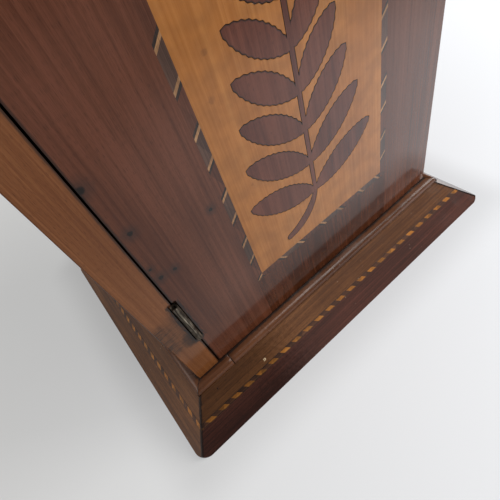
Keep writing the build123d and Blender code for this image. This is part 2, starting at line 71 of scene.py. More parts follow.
def ramp(tree, value, stops):
    """A colour ramp through (place, red, green, blue) stops."""
    made = put(tree, "ValToRGB", {0: value})
    band = made.color_ramp
    while len(band.elements) < len(stops):
        band.elements.new(1.0)
    for element, (place, *colour) in zip(band.elements, stops):
        element.position = place
        element.color = (*colour, 1.0)
    return made.outputs[0]


def between(tree, value, low, high, to_low=0.0, to_high=1.0):
    """Maps a value from one range to another with soft ends."""
    made = put(tree, "MapRange", {0: value, 1: low, 2: high, 3: to_low, 4: to_high})
    made.interpolation_type = "SMOOTHSTEP"
    return made.outputs[0]


def math_of(tree, operation, first, second=0.0):
    """One sum on two values."""
    return put(tree, "Math", {0: first, 1: second}, operation=operation).outputs[0]


def blend_colour(tree, share, first, second, how="MIX"):
    """Mixes two colours by a share."""
    made = put(tree, "Mix", data_type="RGBA", blend_type=how)
    for socket, value in ((0, share), (6, first), (7, second)):
        if isinstance(value, bpy.types.NodeSocket):
            tree.links.new(value, made.inputs[socket])
        else:
            made.inputs[socket].default_value = value if socket == 0 else (*value, 1.0)
    return made.outputs[2]


def stretched_noise(tree, place, along, across, run, detail=2.0, warp=0.0, shift=0.0):
    """Noise drawn out along the grain: across and run are the sizes of its features."""
    size = [1 / across] * 3
    size["xyz".index(along)] = 1 / run
    drawn = put(tree, "Mapping", {"Vector": place, "Location": (shift,) * 3, "Scale": size})
    settings = {"Vector": drawn.outputs[0], "Scale": 1.0, "Detail": detail, "Distortion": warp}
    return put(tree, "TexNoise", settings).outputs[0]


def weighed(tree, *parts):
    """The sum of values, each times its weight."""
    total = 0.0
    for value, weight in parts:
        made = put(tree, "Math", {0: value, 1: weight, 2: total}, operation="MULTIPLY_ADD")
        total = made.outputs[0]
    return total


fibre_width = 0.25 * mm
fibre_run = 14 * mm
pore_width = 0.13 * mm
pore_run = 2.6 * mm
cloud_width = 28 * mm
cloud_run = 70 * mm
ripple_width = 9 * mm
ripple_run = 30 * mm
fibre_relief = 0.03 * mm
ripple_relief = 0.12 * mm
tone_steps = (0.40, 0.47, 0.53, 0.60)
polished = (0.05, 0.12)
merge_reach = 0.001 * mm


def timber(
    name,
    tones,
    along="z",
    band=5.0,
    gloss=polished,
    pores=0.5,
    shift=0.0,
    marks=None,
    run=110,
    warp=0.5,
):
    """Wood with its grain along one axis: band is the width of its figure and run its length, both
    in millimetres, gloss the polish's least and most roughness, and shift picks another board."""
    material = bpy.data.materials.new(name)
    material.use_nodes = True
    tree = material.node_tree
    shader = tree.nodes["Principled BSDF"]
    place = put(tree, "TexCoord").outputs["Object"]
    fibre = stretched_noise(tree, place, along, fibre_width, fibre_run, 2.0, 0.0, shift)
    lines = stretched_noise(tree, place, along, 0.3 * band * mm, run * mm, 1.0, warp, shift + 4)
    bands = stretched_noise(tree, place, along, band * mm, run * mm, 2.0, warp, shift)
    cloud = stretched_noise(tree, place, along, cloud_width, cloud_run, 1.0, 0.3, shift + 7)
    pore = stretched_noise(tree, place, along, pore_width, pore_run, 0.0, 0.0, shift)
    grain = weighed(tree, (fibre, 0.20), (lines, 0.27), (bands, 0.25), (cloud, 0.28))
    colour = ramp(tree, grain, [(step, *tone) for step, tone in zip(tone_steps, tones)])
    open_pore = between(tree, pore, 0.60, 0.72, 0.0, pores)
    colour = blend_colour(tree, open_pore, colour, [c * 0.35 for c in tones[0]])
    if marks:
        colour = marks(tree, place, colour)
    smear = put(tree, "TexNoise", {"Vector": place, "Scale": 90.0, "Detail": 3.0}).outputs[0]
    roughness = between(tree, smear, 0.35, 0.7, *gloss)
    height = math_of(tree, "SUBTRACT", math_of(tree, "MULTIPLY", fibre, 0.5), open_pore)
    fine = put(tree, "Bump", {"Strength": 0.25, "Distance": fibre_relief, "Height": height})
    ripple = stretched_noise(tree, place, along, ripple_width, ripple_run, 1.0, 0.0, shift + 3)
    slow = {"Strength": 0.5, "Distance": ripple_relief, "Height": ripple, "Normal": fine.outputs[0]}
    tree.links.new(colour, shader.inputs["Base Color"])
    tree.links.new(roughness, shader.inputs["Roughness"])
    tree.links.new(put(tree, "Bump", slow).outputs[0], shader.inputs["Normal"])
    return material


def dress(material, *names, arris=0.2 * mm):
    """Gives CAD nodes this material and eases their arrises."""
    for name in names:
        part = nodes[name]
        part.data.materials.clear()
        part.data.materials.append(material)
        weld = part.modifiers.new("joined", "WELD")
        weld.merge_threshold = merge_reach
        ease = part.modifiers.new("eased", "BEVEL")
        ease.width = arris
        ease.segments = 2
        ease.limit_method = "ANGLE"
        ease.angle_limit = math.radians(50)
        ease.use_clamp_overlap = True


mahogany = [(0.060, 0.020, 0.009), (0.11, 0.040, 0.018), (0.155, 0.058, 0.026), (0.21, 0.085, 0.04)]
plain = [(0.20, 0.10, 0.05), (0.28, 0.15, 0.075), (0.34, 0.19, 0.10), (0.42, 0.25, 0.14)]
planed = {"band": 8.0, "gloss": (0.45, 0.6), "pores": 0.7}
side_wood = timber("polished_mahogany_sides", mahogany, shift=2.0)
top_wood = timber("polished_mahogany_top", mahogany, along="x", band=7.0, shift=5.0)
core_wood = timber("planed_mahogany", plain, along="z", shift=9.0, **planed)
board_wood = timber("planed_mahogany_boards", plain, along="x", shift=12.0, **planed)
batten_wood = timber("planed_mahogany_battens", plain, along="y", shift=15.0, **planed)
dress(side_wood, "side_left", "side_right", "door_core")
dress(top_wood, "top_board")
dress(core_wood, "back_panel")
dress(board_wood, "floor_board", "shelf", "corner_blocks", "plinth_front", "plinth_back")
dress(batten_wood, "shelf_batten_left", "shelf_batten_right", "plinth_left", "plinth_right")


# Stile veneer.
# A strip of warm orange-brown mahogany on the front edge of the left side. Oil from the hinge
# has darkened it, and hands have scratched it across the grain below the hinge.
def place_parts(tree, place):
    """The three coordinates of a place."""
    split = put(tree, "SeparateXYZ", {0: place})
    return split.outputs["X"], split.outputs["Y"], split.outputs["Z"]


def away(tree, value, middle, half=0.0):
    """How far a coordinate lies outside a span."""
    off = math_of(tree, "ABSOLUTE", math_of(tree, "SUBTRACT", value, middle))
    return math_of(tree, "MAXIMUM", math_of(tree, "SUBTRACT", off, half), 0.0)


def reach(tree, *parts):
    """The length of the vector with these parts."""
    squares = weighed(tree, *((part, part) for part in parts))
    return math_of(tree, "SQRT", squares)


hinge_x = -84.8 * mm
hinge_level = 157.3 * mm
hinge_spread = 82.9 * mm
hinge_half = 16.0 * mm
handled_level = 72 * mm
handled_half = 9 * mm
oil_x = -88 * mm
oil_level = 62 * mm
soiled = (0.022, 0.011, 0.007)
# Near-black for dirt and knot cores, and for painted shade in gaps, under the moulding and along the
# carcass's foot.
grime_and_shade = (0.010, 0.006, 0.005)


def gap_shade_and_hinge_grime(tree, place, colour):
    """Old oil and dirt round both hinges, and painted shade along the door's gap."""
    x, _, z = place_parts(tree, place)
    ragged = stretched_noise(tree, place, "z", 0.5 * mm, 5 * mm, 2.0)
    from_middle = math_of(tree, "ABSOLUTE", math_of(tree, "SUBTRACT", z, hinge_level))
    beside = away(tree, x, hinge_x)
    distance = reach(tree, beside, away(tree, from_middle, hinge_spread, hinge_half))
    distance = math_of(tree, "SUBTRACT", distance, math_of(tree, "MULTIPLY", ragged, 5.5 * mm))
    stain = between(tree, distance, 0.0, 1.6 * mm, 0.92, 0.0)
    # Painted shade: a dark line on both sides of the door's gap, merged into the hinges' oil stain.
    gap = math_of(tree, "SUBTRACT", beside, math_of(tree, "MULTIPLY", ragged, 0.8 * mm))
    stain = math_of(tree, "MAXIMUM", stain, between(tree, gap, 0.2 * mm, 1.1 * mm, 0.8, 0.0))
    return blend_colour(tree, stain, colour, grime_and_shade)


def stile_marks(tree, place, colour):
    """The oil stain and the scratches below the lower hinge."""
    x, _, z = place_parts(tree, place)
    cloudy = put(tree, "TexNoise", {"Vector": place, "Scale": 260.0, "Detail": 2.0}).outputs[0]
    cloudy = math_of(tree, "MULTIPLY", cloudy, 6 * mm)
    handled = math_of(tree, "SUBTRACT", away(tree, z, handled_level, handled_half), cloudy)
    handled = between(tree, handled, -2 * mm, 5 * mm, 1.0, 0.0)
    worn_edge = between(tree, x, -100 * mm, -90 * mm, 1.0, 0.35)
    handled = math_of(tree, "MULTIPLY", handled, worn_edge)
    colour = blend_colour(tree, math_of(tree, "MULTIPLY", handled, 0.45), colour, soiled)
    scratch = stretched_noise(tree, place, "x", 0.45 * mm, 4.5 * mm, 2.0, 0.0, 4.0)
    scratched = math_of(tree, "MULTIPLY", between(tree, scratch, 0.49, 0.57), handled)
    colour = blend_colour(tree, math_of(tree, "MULTIPLY", scratched, 0.8), colour, soiled)
    oily = reach(tree, away(tree, x, oil_x, 1.5 * mm), away(tree, z, oil_level, 3 * mm))
    oily = between(tree, math_of(tree, "SUBTRACT", oily, cloudy), -2 * mm, 2.0 * mm, 0.7, 0.0)
    colour = blend_colour(tree, oily, colour, soiled)
    return gap_shade_and_hinge_grime(tree, place, colour)


stile_tones = [
    (0.135, 0.044, 0.013),
    (0.165, 0.056, 0.017),
    (0.185, 0.066, 0.021),
    (0.220, 0.080, 0.027),
]
stile_wood = timber(
    "orange_mahogany_stile", stile_tones, band=2.2, pores=0.4, shift=21.0, marks=stile_marks
)
dress(stile_wood, "stile_veneer")


# Plinth veneers.
# Two strips on each splayed board: brown mahogany above the chequered line, and dark
# red-purple mahogany below it, both with the grain along the plinth. The left board's lower strip
# is brown as well.
half_width = 100 * mm
half_depth = 75 * mm
ledge = 25 * mm
strip_under = 20 * mm
# Where the painted shade at the front board's left end begins, and where it is full.
left_shade_ends = -5 * mm
left_shade_full = -70 * mm
nick_place = (-95.5 * mm, -83.6 * mm, 17.4 * mm)
chip_place = (-64.0 * mm, -88.4 * mm, 13.4 * mm)
bare_wood = (0.62, 0.48, 0.30)
pale_sheen = (0.46, 0.37, 0.34)
dust_speck = (0.42, 0.32, 0.24)


def spot(tree, place, point, radius, edge, ragged=0.0):
    """A ragged mark about a point: 1 inside the radius, 0 beyond the edge."""
    if ragged:
        noise_at = put(tree, "TexNoise", {"Vector": place, "Scale": 900.0, "Detail": 2.0})
        shift = put(tree, "VectorMath", {0: noise_at.outputs[1], 1: (-0.5,) * 3}, operation="ADD")
        moved = {0: shift.outputs[0], 1: (ragged,) * 3, 2: place}
        place = put(tree, "VectorMath", moved, operation="MULTIPLY_ADD").outputs[0]
    far = put(tree, "VectorMath", {0: place, 1: point}, operation="DISTANCE").outputs["Value"]
    return between(tree, far, radius, edge, 1.0, 0.0)


def toned(tree, colour, value):
    """A colour made lighter or darker by a value."""
    grey_value = put(tree, "CombineColor", {step: value for step in range(3)})
    return blend_colour(tree, 1.0, colour, grey_value.outputs[0], "MULTIPLY")


def dusty(tree, place, colour):
    """Specks of pale dust, thick in some places and missing in others."""
    specks = put(tree, "TexVoronoi", {"Vector": place, "Scale": 260.0}).outputs["Distance"]
    sparse = put(tree, "TexNoise", {"Vector": place, "Scale": 40.0, "Detail": 1.0}).outputs[0]
    specks = between(tree, specks, 0.05, 0.12, 0.45, 0.0)
    specks = math_of(tree, "MULTIPLY", specks, between(tree, sparse, 0.53, 0.66))
    return blend_colour(tree, specks, colour, dust_speck)


def plinth_marks(tree, place, colour):
    """Dirt in the mitres, painted shade under the moulding and at the front board's left end, the
    rest made lighter with a pale painted sheen, a chip, a nick and specks of dust.
    """
    x, y, z = place_parts(tree, place)
    out_x = math_of(tree, "SUBTRACT", math_of(tree, "ABSOLUTE", x), half_width)
    out_y = math_of(tree, "SUBTRACT", math_of(tree, "ABSOLUTE", y), half_depth)
    ragged = put(tree, "TexNoise", {"Vector": place, "Scale": 500.0, "Detail": 3.0}).outputs[0]
    off_mitre = math_of(tree, "ABSOLUTE", math_of(tree, "SUBTRACT", out_x, out_y))
    off_mitre = math_of(tree, "SUBTRACT", off_mitre, math_of(tree, "MULTIPLY", ragged, 1.6 * mm))
    dirt = between(tree, off_mitre, 0.0, 1.0 * mm, 0.9, 0.0)
    # Painted shade: a dark line along the veneer's top edge, under the moulding's nose. From here
    # on, dirt also carries painted shade.
    below = math_of(tree, "SUBTRACT", strip_under, z)
    below = math_of(tree, "SUBTRACT", below, math_of(tree, "MULTIPLY", ragged, 1.0 * mm))
    dirt = math_of(tree, "MAXIMUM", dirt, between(tree, below, -0.3 * mm, 0.4 * mm, 0.25, 0.0))
    nick = spot(tree, place, nick_place, 0.5 * mm, 0.9 * mm, 2.0 * mm)
    dirt = math_of(tree, "MAXIMUM", dirt, nick)
    # Painted light and shade: the front board's left end is kept dark, with grime mixed in, while
    # the rest of the plinth is made lighter and given a pale painted sheen.
    left_end_shade = weighed(tree, (x, 1.0), (ragged, 30 * mm))
    left_end_shade = between(tree, left_end_shade, left_shade_full, left_shade_ends, 1.0, 0.0)
    on_front = math_of(tree, "SUBTRACT", math_of(tree, "MULTIPLY", y, -1.0), half_depth)
    on_front = between(tree, math_of(tree, "SUBTRACT", on_front, out_x), -1 * mm, 1 * mm)
    left_end_shade = math_of(tree, "MULTIPLY", left_end_shade, on_front)
    dirt = math_of(tree, "MAXIMUM", dirt, math_of(tree, "MULTIPLY", left_end_shade, 0.4))
    colour = toned(tree, colour, between(tree, left_end_shade, 0.0, 1.0, 1.35, 1.0))
    painted_sheen = between(tree, left_end_shade, 0.0, 1.0, 0.05, 0.0)
    colour = blend_colour(tree, painted_sheen, colour, pale_sheen)
    colour = blend_colour(tree, dirt, colour, grime_and_shade)
    chip = spot(tree, place, chip_place, 0.55 * mm, 0.9 * mm, 3.0 * mm)
    colour = blend_colour(tree, chip, colour, bare_wood)
    return dusty(tree, place, colour)


upper_tones = [
    (0.042, 0.014, 0.004),
    (0.066, 0.023, 0.006),
    (0.090, 0.033, 0.009),
    (0.125, 0.048, 0.014),
]
lower_tones = [
    (0.022, 0.0055, 0.003),
    (0.036, 0.0090, 0.005),
    (0.050, 0.0130, 0.0075),
    (0.070, 0.0200, 0.012),
]
worn_polish = (0.09, 0.18)
plinth_look = {"band": 3.0, "gloss": worn_polish, "pores": 0.6, "shift": 31.0, "marks": plinth_marks}
for side, run_axis in (("front", "x"), ("back", "x"), ("left", "y"), ("right", "y")):
    tones_below = upper_tones if side == "left" else lower_tones
    upper = timber(f"plinth_upper_{side}", upper_tones, along=run_axis, **plinth_look)
    lower = timber(f"plinth_lower_{side}", tones_below, along=run_axis, **plinth_look)
    dress(upper, f"plinth_{side}_upper_veneer")
    dress(lower, f"plinth_{side}_lower_veneer")


# Chequered line.
# Slanted pieces of orange-tan boxwood and of dark rosewood, glued up in turn and let in
# between the plinth's two veneers.
chequer_level = 10.5 * mm


def piece_tone(tree, colour, low, high):
    """Each glued piece a little lighter or darker than the next."""
    chance = put(tree, "NewGeometry").outputs["Random Per Island"]
    return toned(tree, colour, between(tree, chance, 0.0, 1.0, low, high))


def chequer_marks(tree, place, colour):
    """Dark glue and dirt along both edges of the line, and each piece with its own tone."""
    colour = piece_tone(tree, colour, 0.55, 1.1)
    _, _, z = place_parts(tree, place)
    off_middle = away(tree, z, chequer_level)
    ragged = put(tree, "TexNoise", {"Vector": place, "Scale": 700.0, "Detail": 2.0}).outputs[0]
    off_middle = weighed(tree, (off_middle, 1.0), (ragged, 0.45 * mm))
    glue = between(tree, off_middle, 0.75 * mm, 1.15 * mm, 0.0, 0.85)
    colour = blend_colour(tree, glue, colour, soiled)
    return plinth_marks(tree, place, colour)


amber = [
    (0.18, 0.060, 0.007),
    (0.25, 0.088, 0.011),
    (0.30, 0.113, 0.016),
    (0.36, 0.148, 0.026),
]
dark = [
    (0.028, 0.011, 0.005),
    (0.048, 0.018, 0.008),
    (0.070, 0.027, 0.012),
    (0.095, 0.038, 0.017),
]
inlay_look = {"along": "x", "band": 1.5, "gloss": worn_polish, "pores": 0.3, "shift": 41.0}
boxwood = timber("chequer_boxwood", amber, marks=chequer_marks, **inlay_look)
rosewood = timber("chequer_rosewood", dark, marks=chequer_marks, **inlay_look)
dress(boxwood, "chequer_light")
dress(rosewood, "chequer_dark")


# Moulded frame.
# Flat mahogany strips with a rounded nose, mitred at the corners and planted on the plinth.
# The front strip is in two lengths, and hands have worn the nose uneven.
nose_reach = 6.4 * mm
strip_width = 32 * mm
nose_round = 3.0 * mm
nose_foot_round = 0.8 * mm
end_arris = 0.25 * mm
wear_step = 5 * mm
front_joint = -79.2 * mm
joint_gap = 0.4 * mm
side_frames = {
    "front": (Vector((1, 0, 0)), Vector((0, -1, 0)), half_depth, half_width),
    "back": (Vector((-1, 0, 0)), Vector((0, 1, 0)), half_depth, half_width),
    "left": (Vector((0, -1, 0)), Vector((-1, 0, 0)), half_width, half_depth),
    "right": (Vector((0, 1, 0)), Vector((1, 0, 0)), half_width, half_depth),
}


def finished_mesh(name, mesh, material, body, stands_for):
    """Makes an object of a finished bmesh, and gives it its body."""
    sharp = math.radians(40)
    for face in mesh.faces:
        face.smooth = True
    for edge in mesh.edges:
        edge.smooth = len(edge.link_faces) == 2 and edge.calc_face_angle(0.0) < sharp
    data = bpy.data.meshes.new(name)
    mesh.to_mesh(data)
    mesh.free()
    made = bpy.data.objects.new(name, data)
    bpy.context.scene.collection.objects.link(made)
    data.materials.append(material)
    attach(made, body)
    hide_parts(stands_for)


def ledge_dirt_and_shade(tree, place, colour):
    """Dirt and painted shade along the foot of the carcass, and dirt in the mitres."""
    x, y, z = place_parts(tree, place)
    out_x = math_of(tree, "SUBTRACT", math_of(tree, "ABSOLUTE", x), half_width)
    out_y = math_of(tree, "SUBTRACT", math_of(tree, "ABSOLUTE", y), half_depth)
    ragged = put(tree, "TexNoise", {"Vector": place, "Scale": 420.0, "Detail": 3.0}).outputs[0]
    # Painted shade and dirt: darker on the ledge within about a millimetre of the carcass's foot.
    out = math_of(tree, "MAXIMUM", out_x, out_y)
    out = math_of(tree, "SUBTRACT", out, math_of(tree, "MULTIPLY", ragged, 1.6 * mm))
    dirt = between(tree, out, -0.3 * mm, 1.1 * mm, 0.9, 0.0)
    off_mitre = math_of(tree, "ABSOLUTE", math_of(tree, "SUBTRACT", out_x, out_y))
    dirt = math_of(tree, "MAXIMUM", dirt, between(tree, off_mitre, 0.1 * mm, 0.5 * mm, 0.85, 0.0))
    return dusty(tree, place, blend_colour(tree, dirt, colour, grime_and_shade))


strip_tones = [
    (0.055, 0.018, 0.006),
    (0.082, 0.028, 0.010),
    (0.105, 0.037, 0.014),
    (0.132, 0.049, 0.019),
]
rubbed = (0.20, 0.30)
strip_look = {"band": 3.0, "gloss": rubbed, "pores": 0.4, "shift": 51.0, "marks": ledge_dirt_and_shade}
strip_wood = {
    axis: timber(f"moulding_mahogany_{axis}", strip_tones, along=axis, **strip_look)
    for axis in "xy"
}


def cut_ends(strip, cuts):
    """Saws a strip at each (point, normal) plane and closes the cut."""
    for point, normal in cuts:
        everything = list(strip.verts) + list(strip.edges) + list(strip.faces)
        bmesh.ops.bisect_plane(
            strip, geom=everything, plane_co=point, plane_no=normal, clear_outer=True
        )
        bmesh.ops.holes_fill(strip, edges=[e for e in strip.edges if e.is_boundary])


def wear_nose(strip, face, length):
    """Cuts the strip into short steps, and moves its nose in where hands have rubbed it."""
    at = -length / 2
    while at < length / 2:
        everything = list(strip.verts) + list(strip.edges) + list(strip.faces)
        bmesh.ops.bisect_plane(strip, geom=everything, plane_co=(at, 0, 0), plane_no=(1, 0, 0))
        at += wear_step
    for vert in strip.verts:
        if vert.co.y > face + 3.5 * mm:
            wear = noise.noise(Vector((vert.co.x * 32, face * 50, 0)))
            wear += 0.25 * noise.noise(Vector((vert.co.x * 75, face * 90, 5)))
            vert.co.y -= (0.30 + 0.24 * wear) * mm
            if vert.co.z > ledge - nose_round:
                vert.co.z -= (0.16 + 0.10 * wear) * mm


def moulded_strip(node, side, start=None, end=None):
    """One strip of the frame: a flat board with a worn round nose, cut to its mitres or joint."""
    along, outward, face, run = side_frames[side]
    strip = bmesh.new()
    length = 2 * (run + nose_reach)
    bmesh.ops.create_cube(strip, size=1.0)
    bmesh.ops.scale(strip, verts=strip.verts, vec=(length, strip_width, ledge - strip_under))
    middle = Vector((0, face + nose_reach - strip_width / 2, (ledge + strip_under) / 2))
    bmesh.ops.translate(strip, verts=strip.verts, vec=middle)
    for height, width in ((ledge, nose_round), (strip_under, nose_foot_round)):
        nose = [
            edge
            for edge in strip.edges
            if all(v.co.y > face + 3 * mm and abs(v.co.z - height) < 0.01 * mm for v in edge.verts)
        ]
        bmesh.ops.bevel(
            strip, geom=nose, offset=width, segments=6, profile=0.5, affect="EDGES", material=-1
        )
    cuts = [((run, face, 0), (1, -1, 0)), ((-run, face, 0), (-1, -1, 0))]
    if start is not None:
        cuts[1] = ((start, 0, 0), (-1, 0, 0))
    if end is not None:
        cuts[0] = ((end, 0, 0), (1, 0, 0))
    cut_ends(strip, cuts)
    ends = [
        edge
        for edge in strip.edges
        if edge.calc_face_angle(0.0) > math.radians(30)
        and abs((edge.verts[0].co - edge.verts[1].co).normalized().x) < 0.9
        and max(v.co.y for v in edge.verts) > face - 1 * mm
    ]
    bmesh.ops.bevel(
        strip, geom=ends, offset=end_arris, segments=2, profile=0.5, affect="EDGES", material=-1
    )
    wear_nose(strip, face, length)
    turned = Matrix((along, outward, (0, 0, 1))).transposed().to_4x4()
    bmesh.ops.transform(strip, matrix=turned, verts=strip.verts)
    bmesh.ops.recalc_face_normals(strip, faces=strip.faces)
    axis = "x" if side in ("front", "back") else "y"
    finished_mesh(f"{node}_strip", strip, strip_wood[axis], "carcass", node)


moulded_strip("moulding_front_short", "front", end=front_joint - joint_gap / 2)
moulded_strip("moulding_front_long", "front", start=front_joint + joint_gap / 2)
for side in ("back", "left", "right"):
    moulded_strip(f"moulding_{side}", side)


# Door veneers.
# Upright mahogany bands at the left and right of the panel, and darker rails above and below,
# glued flush to the door's core. A dark veneer covers the core's back.
flush = 0.04 * mm
# Each knot's distance across, its height and its size, in millimetres.
knots = [
    (-83.4, 162.8, 1.0),
    (-79.7, 138.2, 0.8),
    (-48.7, 123.8, 0.6),
    (-82.4, 117.9, 0.5),
    (-80.9, 110.5, 0.8),
    (-74.3, 109.5, 0.6),
]


def band_marks(tree, place, colour):
    """Small dark knots with grey halos, the dirt by the hinges, and painted shade along the door's
    gap.
    """
    for x, z, size in knots:
        point = (x * mm, -half_depth, z * mm)
        halo = spot(tree, place, point, size * mm, 7 * size * mm, 2.0 * mm)
        halo = math_of(tree, "MULTIPLY", halo, 0.6)
        colour = blend_colour(tree, halo, colour, (0.030, 0.016, 0.013))
        core = spot(tree, place, point, 0.8 * size * mm, 1.9 * size * mm, 0.8 * mm)
        colour = blend_colour(tree, core, colour, grime_and_shade)
    return gap_shade_and_hinge_grime(tree, place, colour)


band_tones = [
    (0.064, 0.018, 0.008),
    (0.087, 0.026, 0.012),
    (0.108, 0.034, 0.016),
    (0.133, 0.043, 0.022),
]
rail_tones = [
    (0.038, 0.010, 0.004),
    (0.057, 0.016, 0.006),
    (0.078, 0.023, 0.010),
    (0.102, 0.032, 0.014),
]
band_wood = timber(
    "door_band_mahogany", band_tones, band=4.0, pores=0.4, shift=61.0, marks=band_marks
)
rail_wood = timber(
    "door_rail_mahogany", rail_tones, band=6.0, pores=0.6, shift=65.0, run=38, warp=1.6
)
dress(band_wood, "door_veneer_left", "door_veneer_right", arris=flush)
dress(rail_wood, "door_veneer_top", "door_veneer_bottom", "door_counter_veneer", arris=flush)


# Stringing.
# Slanted pieces of four woods, pale, dark, red and grey, glued up in a stick, sawn into lines and
# let in round the panel.
def stick_marks(tree, place, colour):
    """Each piece of the stick with its own tone."""
    return piece_tone(tree, colour, 0.75, 1.15)


grey = [(0.045, 0.022, 0.014), (0.063, 0.031, 0.021), (0.082, 0.041, 0.028), (0.105, 0.055, 0.038)]
pale_tones = [(0.22, 0.105, 0.042), (0.30, 0.15, 0.065), (0.36, 0.19, 0.085), (0.43, 0.24, 0.12)]
ebony = [(0.012, 0.007, 0.005), (0.022, 0.012, 0.009), (0.032, 0.018, 0.013), (0.05, 0.03, 0.02)]
stick_look = {"band": 1.5, "pores": 0.3, "shift": 71.0, "marks": stick_marks}
stick_woods = {"pale": pale_tones, "dark": ebony, "red": band_tones, "grey": grey}
for wood, tones in stick_woods.items():
    dress(timber(f"stringing_{wood}", tones, **stick_look), f"stringing_{wood}", arris=flush)


# Panel.
# A honey-tan satinwood ground with the sprig let into it. The sprig is sawn in one piece from
# mauve-brown walnut, with a toothed edge and a dark line of glue round it.
glue_width = 0.6 * mm
scorched = (0.018, 0.010, 0.008)
fleck_brown = (0.10, 0.035, 0.012)
# Each fleck's distance across, its height and its size, in millimetres.
flecks = [(-28.2, 177.6, 1.6), (-31.4, 163.0, 1.8), (-27.2, 120.3, 1.0)]


def scorched_edge(tree, place, colour):
    """The sprig's edge, darkened by the saw and the glue."""
    edge = put(tree, "Attribute", attribute_name="edge").outputs["Fac"]
    edge = math_of(tree, "MULTIPLY", between(tree, edge, 0.05, 0.9), 0.85)
    return blend_colour(tree, edge, colour, scorched)


def ground_marks(tree, place, colour):
    """The satinwood's mottle, and three brown flecks in it."""
    mottle = put(tree, "TexNoise", {"Vector": place, "Scale": 130.0, "Detail": 3.0}).outputs[0]
    colour = toned(tree, colour, between(tree, mottle, 0.3, 0.7, 0.86, 1.1))
    for x, z, size in flecks:
        point = (x * mm, -half_depth, z * mm)
        mark = spot(tree, place, point, 0.5 * size * mm, size * mm, 1.5 * mm)
        mark = math_of(tree, "MULTIPLY", mark, 0.3)
        colour = blend_colour(tree, mark, colour, fleck_brown)
    return colour


honey = [
    (0.308, 0.108, 0.020),
    (0.340, 0.125, 0.026),
    (0.368, 0.140, 0.031),
    (0.400, 0.160, 0.038),
]
walnut = [
    (0.058, 0.013, 0.006),
    (0.088, 0.021, 0.010),
    (0.112, 0.030, 0.015),
    (0.138, 0.040, 0.021),
]
satinwood = timber("panel_satinwood", honey, band=3.0, pores=0.1, shift=81.0, marks=ground_marks)
dress(satinwood, "panel_ground", arris=flush)
sprig_wood = timber(
    "sprig_walnut", walnut, band=6.0, pores=0.4, shift=85.0, marks=scorched_edge, run=60
)

sprig = bmesh.new()
sprig.from_mesh(nodes["sprig"].data)
edge_layer = sprig.verts.layers.float.new("edge")
bmesh.ops.remove_doubles(sprig, verts=sprig.verts, dist=merge_reach)
facing = [face for face in sprig.faces if face.normal.y < -0.9]
whole = bmesh.ops.dissolve_faces(sprig, faces=facing)["region"]
rim = bmesh.ops.inset_region(
    sprig, faces=whole, thickness=glue_width, use_even_offset=False, use_boundary=True
)["faces"]
for face in rim:
    for vert in face.verts:
        vert[edge_layer] = 1.0
for face in whole:
    for vert in face.verts:
        vert[edge_layer] = 0.0
finished_mesh("sprig_inlay", sprig, sprig_wood, "door", "sprig")


# Hinges, lock and screws.
# Drawn brass butts with five knuckles on a pin, a cast brass cupboard lock with a steel bolt, and
# countersunk brass screws with sawn slots. All are dulled with age, and the knuckles are dented.
streak_width = 0.5 * mm
streak_run = 16 * mm
streak_relief = 0.05 * mm


def metal(name, tones, along, roughness, drawn=0.65, relief=0.5):
    """Old metal with drawn streaks along one axis and darker tarnish in patches."""
    material = bpy.data.materials.new(name)
    material.use_nodes = True
    tree = material.node_tree
    shader = tree.nodes["Principled BSDF"]
    place = put(tree, "TexCoord").outputs["Object"]
    streak = stretched_noise(tree, place, along, streak_width, streak_run, 2.0, 0.2)
    tarnish = put(tree, "TexNoise", {"Vector": place, "Scale": 380.0, "Detail": 4.0}).outputs[0]
    mixed = weighed(tree, (streak, drawn), (tarnish, 1.0 - drawn))
    colour = ramp(tree, mixed, tones)
    shader.inputs["Metallic"].default_value = 0.85
    tree.links.new(colour, shader.inputs["Base Color"])
    tree.links.new(between(tree, tarnish, 0.3, 0.7, *roughness), shader.inputs["Roughness"])
    bump = put(tree, "Bump", {"Strength": relief, "Distance": streak_relief, "Height": streak})
    tree.links.new(bump.outputs[0], shader.inputs["Normal"])
    return material


brass_tones = [
    (0.38, 0.030, 0.024, 0.018),
    (0.47, 0.085, 0.070, 0.052),
    (0.54, 0.20, 0.17, 0.13),
    (0.62, 0.52, 0.46, 0.36),
]
cast_tones = [(0.36, 0.20, 0.15, 0.08), (0.52, 0.36, 0.28, 0.15), (0.66, 0.50, 0.40, 0.23)]
steel_tones = [(0.36, 0.08, 0.075, 0.07), (0.50, 0.22, 0.21, 0.20), (0.66, 0.40, 0.39, 0.37)]
old_brass = metal("tarnished_brass", brass_tones, along="z", roughness=(0.3, 0.5))
dress(old_brass, "hinge_lower_pin", "hinge_upper_pin")
cast_brass = metal(
    "cast_brass", cast_tones, along="z", roughness=(0.28, 0.42), drawn=0.15, relief=0.1
)
dress(cast_brass, "lock_case", "lock_key_pin", "strike_plate", "keyhole_escutcheon")
hinge_y = -75.4 * mm
knuckle_radius = 1.8 * mm
knuckle_error = 0.08 * mm
dent_depth = 0.22 * mm
for hinge in ("lower", "upper"):
    for leaf, body in (("frame", "carcass"), ("door", "door")):
        node = f"hinge_{hinge}_{leaf}_leaf"
        brass = bmesh.new()
        brass.from_mesh(nodes[node].data)
        bmesh.ops.remove_doubles(brass, verts=brass.verts, dist=merge_reach)
        for vert in brass.verts:
            off = Vector((vert.co.x - hinge_x, vert.co.y - hinge_y))
            if abs(off.length - knuckle_radius) < knuckle_error:
                around = math.atan2(off.y, off.x)
                dent = 0.5 + 0.5 * noise.noise(Vector((around * 3.2, vert.co.z * 9, 1.7)))
                vert.co.xy -= off.normalized() * dent * dent_depth
        finished_mesh(f"{node}_brass", brass, old_brass, body, node)

slot_width = 0.5 * mm
slot_depth = 0.45 * mm
head_radius = 2 * mm
smallest_head = 8 * mm**2
random.seed(7)


